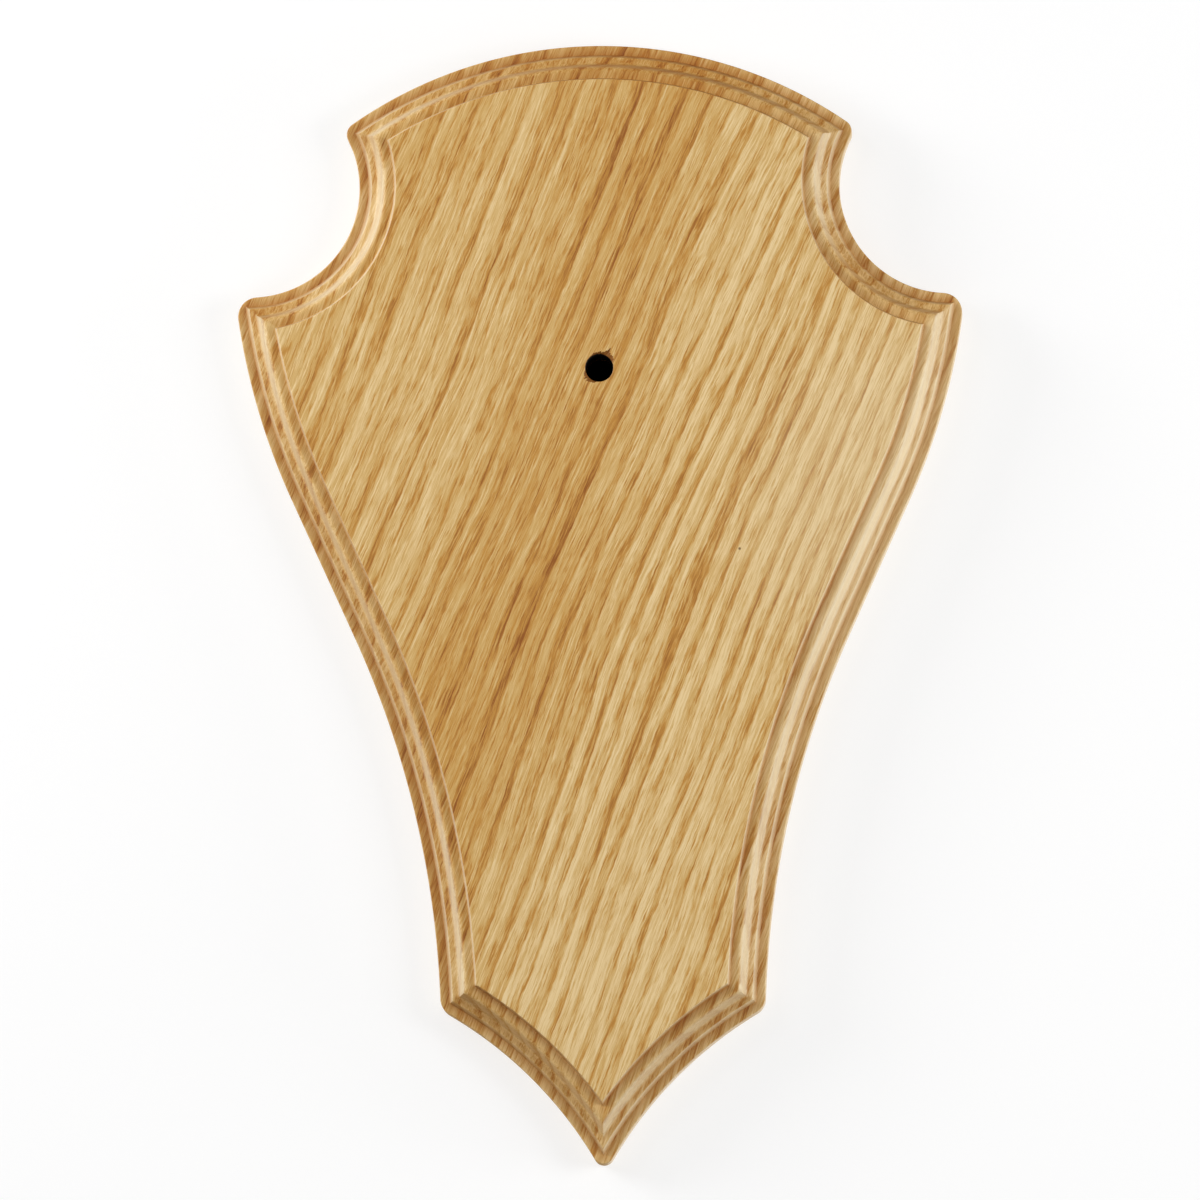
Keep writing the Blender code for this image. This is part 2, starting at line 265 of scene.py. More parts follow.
class PlaqueOak(bpy.types.PropertyGroup):
    """The oak's figure and finish, and its tints of painted light, sheen and shade."""

    grain_lean: turn("Grain lean", "How far the grain leans to the right of upright", 22.3)
    ring_tilt: turn("Ring tilt", "Angle between the rings' growth direction and the face's normal", 54)
    pith_distance: size("Pith distance", "From the board's middle to the heart of the tree", 0.24)
    ring_spacing: size("Ring spacing", "Mean width of a year's growth", 0.0034)
    palest: colour("Palest", "The palest streaks", (0.885, 0.665, 0.345))
    latewood: colour("Latewood", "The smooth wood between the bands", (0.690, 0.435, 0.145))
    earlywood: colour("Earlywood", "The browner wood of the porous bands", (0.570, 0.270, 0.045))
    pore: colour("Pores", "The open pores' dark lining", (0.300, 0.088, 0.006))
    # Partly the cut wood's own colour, partly painted sheen from the side lights.
    side_cut_and_sheen: colour("Side cut", "The wood on edges cut along the fibres", (0.650, 0.555, 0.390))
    end_cut: colour("End cut", "The wood on edges cut across the fibres", (0.320, 0.140, 0.028))
    # Partly paler wood, partly painted light near the right-hand edge.
    pale_and_lit_wood: colour("Pale wood", "The palest wood, near the right-hand edge", (0.93, 0.80, 0.55))
    # Partly finish gathered in the moulding, partly painted shade in its corners and on edges facing right
    # and down.
    finish_and_shade_tint: colour("Settled finish", "What gathered finish tints the wood with", (0.70, 0.49, 0.28))
    # Partly finish drunk by end grain, partly painted shade on edges that face down.
    soaked_and_shaded: colour("Soaked finish", "What drunk-in finish tints the wood with", (0.84, 0.74, 0.59))
    browned: colour("Browned", "Wood that the drill has bruised", (0.260, 0.090, 0.006))
    # Partly burnt by the drill, partly painted shade deep in the hole.
    black_burn_and_shade: colour("Blackened", "Wood that the drill has burnt", (0.008, 0.004, 0.002))
    mark: colour("Mark", "The small dark mark on the face", (0.160, 0.070, 0.018))
    # Partly the wood's tone, partly painted light on the right.
    paler_and_lit_right: share("Paler to the right", "How much paler the right is than the left", 0.15)
    dark_middle: share("Dark middle", "How much darker the broad middle streak of the wood is", 0.17)
    roughness: share("Roughness", "How matt the finish is", 0.45)
    rougher_pores: share("Rougher pores", "How much more matt the finish is in the pores", 0.15)
    rougher_ends: share("Rougher ends", "How much more matt open ends and burnt wood are", 0.4)
    bump: share("Relief", "How strongly the pores and fibres show as relief", 0.3)
    fibre_height: share("Fibre height", "Height of the fibres against the pores' depth", 0.4)
    pore_depth: size("Pore depth", "How deep the pores are", 0.00008)


class PlaqueStage(bpy.types.PropertyGroup):
    """The camera and the lights."""

    camera_distance: size("Camera distance", "From the camera to the board", 4.0)
    view_width: size("View width", "Width of the picture at the board", 0.25694)
    below: turn("Below", "How far below the board's normal the camera stands", 4.5)
    beside: turn("Beside", "How far to the right of the board's normal the camera stands", 1.4)
    roll: turn("Roll", "How far the camera is rolled clockwise", 0.245)
    aim_across: size("Aim across", "Where the picture's middle lies, right of the origin", -0.00043)
    aim_up: size("Aim up", "Where the picture's middle lies, above the origin", 0.00143)
    light: share("Light", "Strength of the soft lights together", 1.2)
    fill: share("Fill", "Strength of the even light from all round", 0.21)


class Arc:
    """One circular stretch of the outline. Further in, a swelling arc shrinks and a hollow one grows."""

    def __init__(self, centre, radius, side):
        self.centre = centre
        self.radius = radius
        self.side = side

    def radius_at(self, inset):
        return self.radius - self.side * inset

    def angle_of(self, point):
        return atan2(point[1] - self.centre[1], point[0] - self.centre[0])

    def outward_at(self, point):
        """Direction out of the board where the arc passes the point."""
        return self.angle_of(point) if self.side == SWELLING else self.angle_of(point) + pi

    def mirrored(self):
        return Arc((-self.centre[0], self.centre[1]), self.radius, self.side)


def hollow_between(start, end, depth):
    """Hollow arc between two corners, met clockwise, scooped in from their chord by depth."""
    chord = hypot(end[0] - start[0], end[1] - start[1])
    radius = (chord * chord / 4 + depth * depth) / (2 * depth)
    outward = (-(end[1] - start[1]) / chord, (end[0] - start[0]) / chord)
    reach = radius - depth
    centre = ((start[0] + end[0]) / 2 + outward[0] * reach, (start[1] + end[1]) / 2 + outward[1] * reach)
    return Arc(centre, radius, HOLLOW)


def meeting(first, second, inset, corner):
    """Where two neighbouring arcs meet when both are drawn further in, nearest to their sharp corner."""
    first_radius = first.radius_at(inset)
    second_radius = second.radius_at(inset)
    away = (second.centre[0] - first.centre[0], second.centre[1] - first.centre[1])
    gap = hypot(*away)
    along = (first_radius ** 2 - second_radius ** 2 + gap ** 2) / (2 * gap)
    beside = sqrt(first_radius ** 2 - along ** 2)
    unit = (away[0] / gap, away[1] / gap)
    foot = (first.centre[0] + unit[0] * along, first.centre[1] + unit[1] * along)
    both = [(foot[0] - unit[1] * step, foot[1] + unit[0] * step) for step in (beside, -beside)]
    return min(both, key=lambda point: hypot(point[0] - corner[0], point[1] - corner[1]))


def swept(centre, radius, start, end, steps):
    """Points on a circle from one direction to another, the short way round."""
    change = (end - start + pi) % (2 * pi) - pi
    angles = [start + change * step / steps for step in range(steps + 1)]
    return [(centre[0] + radius * cos(angle), centre[1] + radius * sin(angle)) for angle in angles]


def spread(first, last, steps):
    """Evenly spaced values from first to last, both included."""
    return [first + (last - first) * step / steps for step in range(steps + 1)]


class Outline:
    """The board's outline, which can be drawn at any distance in from the edge."""

    ROUNDING_STEPS = 10
    STRAIGHT_STEPS = 40

    def __init__(self, sizes, spacing):
        self.sizes = sizes
        tip_height = -sizes.pattern_height
        self.ear = (sizes.ear_spread / 2, -sizes.ear_drop)
        self.shoulder = (sizes.shoulder_spread / 2, -sizes.shoulder_drop)
        self.hip = (sizes.hip_spread / 2, tip_height + sizes.hip_rise)
        self.tip = (0.0, tip_height)
        crown_radius = (self.ear[0] ** 2 + sizes.ear_drop ** 2) / (2 * sizes.ear_drop)
        self.crown = Arc((0.0, -crown_radius), crown_radius, SWELLING)
        self.notch = hollow_between(self.ear, self.shoulder, sizes.notch_depth)
        self.belly, self.waist, self.lean = self.side_curves()
        self.point = hollow_between(self.hip, self.tip, sizes.tip_hollow)
        self.steps = {
            "crown": self.steps_for(self.crown, pi / 2, self.crown.angle_of(self.ear), spacing),
            "notch": self.steps_for(self.notch, self.notch.angle_of(self.ear),
                                    self.notch.angle_of(self.shoulder), spacing),
            "belly": self.steps_for(self.belly, self.belly.angle_of(self.shoulder), -self.lean, spacing),
            "waist": self.steps_for(self.waist, pi - self.lean, self.waist.angle_of(self.hip), spacing),
            "point": self.steps_for(self.point, self.point.angle_of(self.hip),
                                    self.point.angle_of(self.tip), spacing),
        }

    @staticmethod
    def steps_for(arc, start, end, spacing):
        change = abs((end - start + pi) % (2 * pi) - pi)
        return ceil(arc.radius * change / spacing)

    def side_curves(self):
        """The side's swelling and hollow arcs, and the lean of the straight stretch that touches both."""
        sizes = self.sizes
        across = self.shoulder[0] - self.hip[0]
        down = self.shoulder[1] - self.hip[1]
        least = max(sizes.shoulder_lean, sizes.hip_lean)
        most = pi / 2
        for _ in range(LEAN_TRIES):
            lean = (least + most) / 2
            fall = (sin(lean) - sin(sizes.shoulder_lean)
                    + sizes.waist_to_belly * (sin(lean) - sin(sizes.hip_lean)))
            draw_in = (cos(sizes.shoulder_lean) - cos(lean)
                       + sizes.waist_to_belly * (cos(sizes.hip_lean) - cos(lean)))
            belly_radius = (down - sizes.side_straight * cos(lean)) / fall
            if belly_radius * draw_in + sizes.side_straight * sin(lean) < across:
                least = lean
            else:
                most = lean
        waist_radius = sizes.waist_to_belly * belly_radius
        belly_centre = (self.shoulder[0] - belly_radius * cos(sizes.shoulder_lean),
                        self.shoulder[1] + belly_radius * sin(sizes.shoulder_lean))
        waist_centre = (self.hip[0] + waist_radius * cos(sizes.hip_lean),
                        self.hip[1] - waist_radius * sin(sizes.hip_lean))
        return Arc(belly_centre, belly_radius, SWELLING), Arc(waist_centre, waist_radius, HOLLOW), lean

    def right_half(self, inset, rounded):
        """Points from the crown's middle to the tip; rounded runs from 0, sharp, to 1 at the outer edge."""
        sizes = self.sizes
        radii = [rounding * rounded for rounding in
                 (sizes.ear_rounding, sizes.shoulder_rounding, sizes.hip_rounding, sizes.tip_rounding)]
        ear = meeting(self.crown, self.notch, inset + radii[0], self.ear)
        shoulder = meeting(self.notch, self.belly, inset + radii[1], self.shoulder)
        hip = meeting(self.waist, self.point, inset + radii[2], self.hip)
        tip = meeting(self.point, self.point.mirrored(), inset + radii[3], self.tip)
        steps = self.steps

        def stretch(arc, start, end, name):
            return swept(arc.centre, arc.radius_at(inset), start, end, steps[name])

        def corner(centre, radius, before, after):
            return swept(centre, radius, before, after, self.ROUNDING_STEPS)[1:-1]

        points = stretch(self.crown, pi / 2, self.crown.angle_of(ear), "crown")
        points += corner(ear, radii[0], self.crown.outward_at(ear), self.notch.outward_at(ear))
        points += stretch(self.notch, self.notch.angle_of(ear), self.notch.angle_of(shoulder), "notch")
        points += corner(shoulder, radii[1], self.notch.outward_at(shoulder),
                         self.belly.outward_at(shoulder))
        belly = stretch(self.belly, self.belly.angle_of(shoulder), -self.lean, "belly")
        waist = stretch(self.waist, pi - self.lean, self.waist.angle_of(hip), "waist")
        start, end = Vector(belly[-1]), Vector(waist[0])
        straight = [tuple(start.lerp(end, step / self.STRAIGHT_STEPS))
                    for step in range(1, self.STRAIGHT_STEPS)]
        points += belly + straight + waist
        points += corner(hip, radii[2], self.waist.outward_at(hip), self.point.outward_at(hip))
        points += stretch(self.point, self.point.angle_of(hip), self.point.angle_of(tip), "point")
        points += swept(tip, radii[3], self.point.outward_at(tip), -pi / 2, self.ROUNDING_STEPS)[1:]
        return points

    def ring(self, inset, rounded):
        """The whole closed outline, clockwise from the crown's middle."""
        right = self.right_half(inset, rounded)
        left = [(-across, height) for across, height in reversed(right[1:-1])]
        return right + left


class Section:
    """The moulded edge in section, gathered as (distance in, height above the back)."""

    BACK_STEPS = 3
    RIM_STEPS = 5
    HOLLOW_STEPS = 9
    SWELL_STEPS = 10
    EASE_STEPS = 3
    LEVEL = 0.0004             # how far the shading of an eased edge may run on to the flat beside it

    def __init__(self, moulding, thickness):
        self.moulding = moulding
        self.thickness = thickness
        self.points = []

    def eased(self, before, corner, after, ease):
        """Round a corner between two straight runs with a short curve."""
        before, corner, after = Vector(before), Vector(corner), Vector(after)
        start = corner + (before - corner).normalized() * ease
        end = corner + (after - corner).normalized() * ease
        for step in range(self.EASE_STEPS + 1):
            t = step / self.EASE_STEPS
            self.points.append(tuple(start.lerp(corner, t).lerp(corner.lerp(end, t), t)))

    def ogee(self):
        """The double curve from the ridge at (0, 0): gentle start, hollow, steep straight and swelling."""
        m = self.moulding
        gentle_rise = m.gentle_width * tan(m.gentle_slope)
        run = [(m.gentle_width + m.hollow_radius * (sin(slope) - sin(m.gentle_slope)),
                gentle_rise + m.hollow_radius * (cos(m.gentle_slope) - cos(slope)))
               for slope in spread(m.gentle_slope, m.steep_slope, self.HOLLOW_STEPS)]
        straight_width = m.ogee_width - run[-1][0] - m.swell_radius * sin(m.steep_slope)
        rise = run[-1][1] + straight_width * tan(m.steep_slope)
        run += [(m.ogee_width - m.swell_radius * sin(slope),
                 rise + m.swell_radius * (cos(slope) - cos(m.steep_slope)))
                for slope in spread(m.steep_slope, 0.0, self.SWELL_STEPS)]
        return run

    def build(self):
        m = self.moulding
        ogee = self.ogee()
        ledge_height = self.thickness - m.fillet_depth - ogee[-1][1] - m.step_depth
        self.points = [(m.back_ease + self.LEVEL, 0.0)]
        self.points += [(m.back_ease * (1 - sin(angle)), m.back_ease * (1 - cos(angle)))
                        for angle in spread(0.0, pi / 2, self.BACK_STEPS)]
        wall_top = ledge_height - m.rim_rounding
        self.points += [(0.0, m.back_ease + self.LEVEL), (0.0, wall_top - self.LEVEL)]
        self.points += swept((m.rim_rounding, wall_top), m.rim_rounding, pi, pi / 2, self.RIM_STEPS)
        foot = (m.ledge_width, ledge_height)
        ridge = (m.ledge_width + m.step_width, ledge_height + m.step_depth)
        self.eased((m.rim_rounding, ledge_height), foot, ridge, m.ridge_ease)
        self.eased(foot, ridge, (ridge[0] + ogee[0][0], ridge[1] + ogee[0][1]), m.ridge_ease)
        self.points += [(ridge[0] + across, ridge[1] + up) for across, up in ogee]
        top = self.points[-1]
        wall_foot = (top[0] + m.shelf_width, top[1])
        arris = (wall_foot[0] + m.fillet_width, self.thickness)
        self.points.append((top[0] + m.shelf_width / 2, top[1]))
        self.eased(top, wall_foot, arris, m.ridge_ease)
        self.eased(wall_foot, arris, (arris[0] + m.fillet_width, self.thickness), m.face_ease)
        self.points.append((arris[0] + m.face_ease + self.LEVEL, self.thickness))
        return self.points


def extruded_ring(bm, ring, places):
    """Extrude a closed ring of vertices and set the new ones in their places, in the same order."""
    edges = [bm.edges.get((ring[index - 1], ring[index])) for index in range(len(ring))]
    made = bmesh.ops.extrude_edge_only(bm, edges=edges)["geom"]
    fresh = {item for item in made if isinstance(item, bmesh.types.BMVert)}
    following = []
    for vert, place in zip(ring, places):
        copy = next(edge.other_vert(vert) for edge in vert.link_edges if edge.other_vert(vert) in fresh)
        copy.co = place
        following.append(copy)
    return following


def closed_ring(bm, places):
    """A closed ring of new vertices and edges."""
    ring = [bm.verts.new(place) for place in places]
    for index in range(len(ring)):
        bm.edges.new((ring[index - 1], ring[index]))
    return ring


class Recipe:
    """Adds shader nodes to one material and joins them as they are asked for."""

    def __init__(self, material):
        material.use_nodes = True
        self.tree = material.node_tree
        self.shader = self.tree.nodes["Principled BSDF"]

    def node(self, kind, inputs=None, **settings):
        made = self.tree.nodes.new(kind)
        for name, value in settings.items():
            setattr(made, name, value)
        for name, value in (inputs or {}).items():
            self.feed(made.inputs[name], value)
        return made

    def feed(self, socket, value):
        if isinstance(value, bpy.types.NodeSocket):
            self.tree.links.new(value, socket)
        else:
            socket.default_value = value

    def math(self, operation, *values, clamp=False):
        made = self.node("ShaderNodeMath", operation=operation, use_clamp=clamp)
        for socket, value in zip(made.inputs, values):
            self.feed(socket, value)
        return made.outputs[0]

    def vector(self, across, depth, along):
        return self.node("ShaderNodeCombineXYZ", {"X": across, "Y": depth, "Z": along}).outputs[0]

    def weighed(self, value, weight):
        return self.math("MULTIPLY", value, weight)

    def swing(self, value, reach):
        """Noise centred on nought, with the given reach."""
        return self.weighed(self.math("SUBTRACT", value, 0.5), reach)

    def direct(self, operation, first, second):
        """A number that is worked out from two vectors."""
        return self.node("ShaderNodeVectorMath", {0: first, 1: second}, operation=operation).outputs["Value"]

    def attribute(self, name):
        return self.node("ShaderNodeAttribute", attribute_name=name).outputs["Fac"]

    def noise(self, place, scale, detail, roughness=0.5):
        made = self.node("ShaderNodeTexNoise", {"Vector": place, "Scale": scale, "Detail": detail,
                                                "Roughness": roughness})
        return made.outputs["Fac"]

    def between(self, value, low, high, out_low=0.0, out_high=1.0, smooth=True):
        """Map a value from one range to another, held at the ends."""
        ranges = {"Value": value, "From Min": low, "From Max": high, "To Min": out_low, "To Max": out_high}
        kind = "SMOOTHSTEP" if smooth else "LINEAR"
        return self.node("ShaderNodeMapRange", ranges, interpolation_type=kind).outputs["Result"]

    def mixed(self, amount, first, second, blend="MIX"):
        made = self.node("ShaderNodeMix", data_type="RGBA", blend_type=blend, clamp_factor=True)
        self.feed(made.inputs["Factor"], amount)
        self.feed(made.inputs["A"], first if isinstance(first, bpy.types.NodeSocket) else (*first, 1.0))
        self.feed(made.inputs["B"], second if isinstance(second, bpy.types.NodeSocket) else (*second, 1.0))
        return made.outputs["Result"]


class OakGrain:
    """The oak's figure as shader sockets: the fibres, the growth rings, the streaks and the pores."""

    def __init__(self, recipe, oak, place):
        self.recipe = recipe
        self.oak = oak
        turned = recipe.node("ShaderNodeMapping", {"Vector": place, "Rotation": (0.0, -oak.grain_lean, 0.0),
                                                   "Scale": (MM, MM, MM)}, vector_type="POINT").outputs[0]
        self.across, self.depth, self.along = recipe.node("ShaderNodeSeparateXYZ", {"Vector": turned}).outputs
        self.side = self.wandering()
        self.band = self.porous_bands()
        self.streak = self.pattern(self.side, STREAKS)
        self.fibre = self.pattern(self.side, FIBRES)
        self.broad = self.pattern(self.across, BROAD_CLOUDS)
        crowd = recipe.math("ADD", recipe.weighed(self.band, BAND_CROWDING),
                            recipe.swing(self.streak, STREAK_CROWDING))
        crowded = recipe.math("ADD", self.pattern(self.side, PORES), crowd)
        self.lining = recipe.between(crowded, *LINING)
        self.core = recipe.between(crowded, *CORE)

    def pattern(self, side, figure):
        """Noise drawn out along the fibres."""
        weighed = self.recipe.weighed
        place = self.recipe.vector(weighed(side, figure.fine), weighed(self.depth, figure.fine),
                                   weighed(self.along, figure.long))
        return self.recipe.noise(place, 1.0, figure.detail, figure.roughness)

    def wandering(self):
        """The place across the fibres, for grain that bends a little and wanders from side to side."""
        recipe = self.recipe
        bend = recipe.weighed(recipe.math("MULTIPLY", self.along, self.along), GRAIN_BEND)
        side = recipe.math("SUBTRACT", self.across, bend)
        for figure, reach in WANDERS:
            side = recipe.math("ADD", side, recipe.swing(self.pattern(self.across, figure), reach))
        return side

    def porous_bands(self):
        """How porous the wood is, from how far out from the heart of the tree a point lies."""
        recipe = self.recipe
        reach = self.oak.pith_distance * MM
        heart_across = recipe.math("ADD", self.side, reach * sin(self.oak.ring_tilt))
        heart_depth = recipe.math("SUBTRACT", self.depth, reach * cos(self.oak.ring_tilt))
        radius = recipe.math("SQRT", recipe.math("ADD", recipe.math("MULTIPLY", heart_across, heart_across),
                                                 recipe.math("MULTIPLY", heart_depth, heart_depth)))
        years = recipe.math("DIVIDE", radius, self.oak.ring_spacing * MM)
        uneven = recipe.noise(recipe.vector(years, 0.0, 0.0), YEAR_PATTERN_SCALE, 1.0)
        years = recipe.math("ADD", years, recipe.swing(uneven, YEAR_UNEVENNESS))
        phase = recipe.math("FRACT", years)
        luck = recipe.node("ShaderNodeTexWhiteNoise", {"W": recipe.math("FLOOR", years)},
                           noise_dimensions="1D").outputs["Value"]
        strength = recipe.between(luck, 0.0, 1.0, WEAKEST_YEAR, 1.0, smooth=False)
        porous = recipe.math("MULTIPLY", recipe.between(phase, *BAND_RISE),
                             recipe.between(phase, *BAND_END, 1.0, 0.0))
        return recipe.math("MULTIPLY", porous, strength)

    def tone(self, plain):
        """How dark the wood is; plain is how far its lines show on this cut."""
        recipe = self.recipe
        band = recipe.weighed(recipe.math("SUBTRACT", self.band, BAND_MIDDLE), BAND_TONE)
        tone = recipe.math("ADD", TONE_LEVEL, band)
        tone = recipe.math("ADD", tone, recipe.swing(self.streak, STREAK_TONE))
        tone = recipe.math("ADD", tone, recipe.swing(self.broad, BROAD_TONE))
        # Paler to the right: partly the wood's tone, partly painted light
        leftness = recipe.between(self.across, *LEFT_FADE, self.oak.paler_and_lit_right, 0.0, smooth=False)
        tone = recipe.math("ADD", tone, leftness)
        streak_place = recipe.math("ADD", recipe.weighed(self.along, DARK_STREAK_LEAN), DARK_STREAK_PLACE)
        off_streak = recipe.math("ABSOLUTE", recipe.math("ADD", self.across, streak_place))
        middle = recipe.between(off_streak, *DARK_STREAK_FADE, self.oak.dark_middle, 0.0)
        tone = recipe.math("ADD", tone, middle)
        tone = recipe.math("ADD", tone, recipe.math("MULTIPLY", recipe.swing(self.fibre, FIBRE_TONE), plain))
        lines = recipe.math("ADD", recipe.weighed(self.lining, LINING_TONE),
                            recipe.weighed(self.core, CORE_TONE))
        return recipe.math("ADD", tone, recipe.math("MULTIPLY", lines, plain), clamp=True)


def figured_wood(recipe, oak, tone):
    """The clean wood's colour, from its palest streaks to its pores."""
    ramp = recipe.node("ShaderNodeValToRGB", {"Fac": tone})
    stops = ramp.color_ramp.elements
    stops[0].position = 0.0
    stops[0].color = (*oak.palest, 1.0)
    stops[1].position = 1.0
    stops[1].color = (*oak.pore, 1.0)
    for position, shade in ((LATEWOOD_TONE, oak.latewood), (EARLYWOOD_TONE, oak.earlywood)):
        stops.new(position).color = (*shade, 1.0)
    return ramp.outputs["Color"]


def finished_wood(recipe, oak, wood, place, burnt_and_shaded):
    """The wood's colour under its finish, with what the finish, the drill and use have left on it, and
    painted light and shade.
    """
    # A paler patch near the right-hand edge: partly paler wood, partly painted light
    off_pale_and_lit = recipe.direct("DISTANCE", place, PALE_AND_LIT_PLACE)
    wood = recipe.mixed(recipe.between(off_pale_and_lit, *PALE_AND_LIT_FADE, PALE_AND_LIT_COVER, 0.0), wood, oak.pale_and_lit_wood)
    # Gathered finish and painted shade in the moulding's corners and on edges facing right and down
    wood = recipe.mixed(recipe.attribute(SHADE_AND_FINISH), wood, oak.finish_and_shade_tint, blend="MULTIPLY")
    # Finish drunk by end grain, and painted shade on edges that face down
    wood = recipe.mixed(recipe.attribute(SOAK_AND_LOW_SHADE), wood, oak.soaked_and_shaded, blend="MULTIPLY")
    wood = recipe.mixed(recipe.between(burnt_and_shaded, *BROWNED), wood, oak.browned)
    # Black from scorch, and painted shade deep in the hole
    wood = recipe.mixed(recipe.between(burnt_and_shaded, *BLACKENED_AND_SHADED), wood, oak.black_burn_and_shade)
    for right, up, radius, strength in MARKS:
        off_mark = recipe.direct("DISTANCE", place, Vector((right, BOARD_LOW.y, up)))
        shown = recipe.between(off_mark, radius * MARK_EDGE[0], radius * MARK_EDGE[1], strength, 0.0)
        wood = recipe.mixed(shown, wood, oak.mark)
    return wood


def fibre_direction(oak):
    """Which way the fibres run in the board."""
    return Vector((sin(oak.grain_lean), 0.0, cos(oak.grain_lean)))


def oak_material(oak):
    """Solid oak: growth rings, earlywood pores, fine fibres and a thin satin finish, with painted light,
    sheen and shade.
    """
    material = bpy.data.materials.new("oak_under_satin_finish")
    recipe = Recipe(material)
    coordinates = recipe.node("ShaderNodeTexCoord").outputs
    place = coordinates["Object"]
    grain = OakGrain(recipe, oak, place)

    # How squarely each face cuts across the fibres, showing their open ends, and how squarely beside them
    side_way = Vector((cos(oak.grain_lean), 0.0, -sin(oak.grain_lean)))
    lengthwise = recipe.direct("DOT_PRODUCT", coordinates["Normal"], fibre_direction(oak))
    sideways = recipe.direct("DOT_PRODUCT", coordinates["Normal"], side_way)
    end_grain = recipe.between(recipe.math("ABSOLUTE", lengthwise), *END_GRAIN)
    side_cut_and_sheen = recipe.between(recipe.math("ABSOLUTE", sideways), *SIDE_CUT_AND_SHEEN)
    plain = recipe.math("SUBTRACT", 1.0, recipe.weighed(end_grain, END_GRAIN_CALM))

    wood = figured_wood(recipe, oak, grain.tone(plain))
    # Paler on cuts along the fibres: partly the cut wood, partly painted sheen
    wood = recipe.mixed(recipe.weighed(side_cut_and_sheen, SIDE_CUT_AND_SHEEN_COVER), wood, oak.side_cut_and_sheen)
    wood = recipe.mixed(recipe.weighed(end_grain, END_GRAIN_COVER), wood, oak.end_cut)
    # Scorch from the drill, and painted shade deep in the hole
    burnt_and_shaded = recipe.attribute(SCORCH_AND_HOLE_SHADE)
    recipe.feed(recipe.shader.inputs["Base Color"], finished_wood(recipe, oak, wood, place, burnt_and_shaded))

    rough = recipe.math("ADD", oak.roughness, recipe.weighed(grain.lining, oak.rougher_pores))
    rough = recipe.math("ADD", rough, recipe.weighed(end_grain, oak.rougher_ends))
    rough = recipe.math("ADD", rough, recipe.weighed(burnt_and_shaded, oak.rougher_ends))
    recipe.feed(recipe.shader.inputs["Roughness"], rough)
    height = recipe.math("SUBTRACT", recipe.weighed(grain.fibre, oak.fibre_height), grain.lining)
    bump = recipe.node("ShaderNodeBump", {"Strength": oak.bump, "Distance": oak.pore_depth, "Height": height})
    recipe.feed(recipe.shader.inputs["Normal"], bump.outputs[0])
    recipe.shader.inputs["Metallic"].default_value = 0.0
    recipe.shader.inputs["IOR"].default_value = FINISH_IOR
    return material


def outward_ways(ring):
    """Which way the edge faces at each point of a closed ring, met clockwise."""
    ways = []
    for index, _ in enumerate(ring):
        along = (ring[(index + 1) % len(ring)] - ring[index - 1]).normalized()
        ways.append(Vector((-along.z, 0.0, along.x)))
    return ways


def board_places(scene):
    """Rings of places round the board, from the back to the face, and the outline's middle height."""
    sizes = scene.plaque_outline
    moulding = scene.plaque_moulding
    outline = Outline(sizes, moulding.spacing)
    heights = [height for _, height in outline.right_half(0.0, 1.0)]
    middle = (max(heights) + min(heights)) / 2
    rings = []
    for inset, height in Section(moulding, sizes.thickness).build():
        ring = outline.ring(inset + HAIR, max(0.0, 1.0 - inset / moulding.ledge_width))
        rings.append([Vector((across, -height, up - middle)) for across, up in ring])
    return rings, middle


def finish_and_painted_shade(moulding, place_in, height):
    """How much finish has gathered at a distance in, with painted shade in the corners: on the ledge, and on
    the shelf under the face.
    """
    if height < BACK_LEVEL:
        return 0.0
    m = moulding
    ridge = m.ledge_width + m.step_width
    shelf = ridge + m.ogee_width
    fillet = shelf + m.shelf_width
    stops = (                  # distance in, amount
        (0.0, 0.15),
        (m.ledge_width * 0.5, 0.30),
        (m.ledge_width, 0.90),
        (ridge - m.step_width * 0.3, 0.0),
        (ridge + m.gentle_width, 0.25),
        (ridge + m.gentle_width * 1.7, 0.0),
        (shelf - m.swell_radius * 0.5, 0.0),
        (shelf + m.shelf_width * 0.4, 0.15),
        (fillet, 0.55),
        (fillet + m.fillet_width, 0.0),
    )
    for (start, first), (end, last) in zip(stops, stops[1:]):
        if place_in <= end:
            return first + (last - first) * (place_in - start) / (end - start)
    return 0.0


def facing_shade(moulding, place_in, way):
    """How much more or less finish and painted shade lies inside the step, on an edge that faces one way;
    more shade facing right and down.
    """
    if place_in <= moulding.ledge_width + moulding.step_width:
        return 1.0
    return min(FACING_SHADE_MOST, max(FACING_SHADE_LEAST, FACING_SHADE_LEVEL + SHADE_FACING_RIGHT * way.x - SHADE_FACING_DOWN * way.z))


def soak_and_shade_share(moulding, place_in, height):
    """How much of the drunk-in finish and its painted shade each part of the section takes: the ledge a
    little, the curves and shelf fully.
    """
    ridge = moulding.ledge_width + moulding.step_width
    face_edge = ridge + moulding.ogee_width + moulding.shelf_width + moulding.fillet_width
    if height < BACK_LEVEL or place_in >= face_edge:
        return 0.0
    return LEDGE_SOAK_AND_SHADE if place_in < ridge else 1.0


def thirst_and_low_shade(way, fibre_way):
    """How much finish an edge drinks where it cuts squarely across the fibres, and how much painted shade it
    gets where it faces down.
    """
    squareness = (abs(way.dot(fibre_way)) - SQUARE_FROM) / SQUARE_RANGE
    low_shade = (-way.z - LOW_SHADE_FROM) / LOW_SHADE_RANGE
    return min(1.0, max(0.0, squareness, LOW_SHADE_MOST * min(1.0, low_shade)))


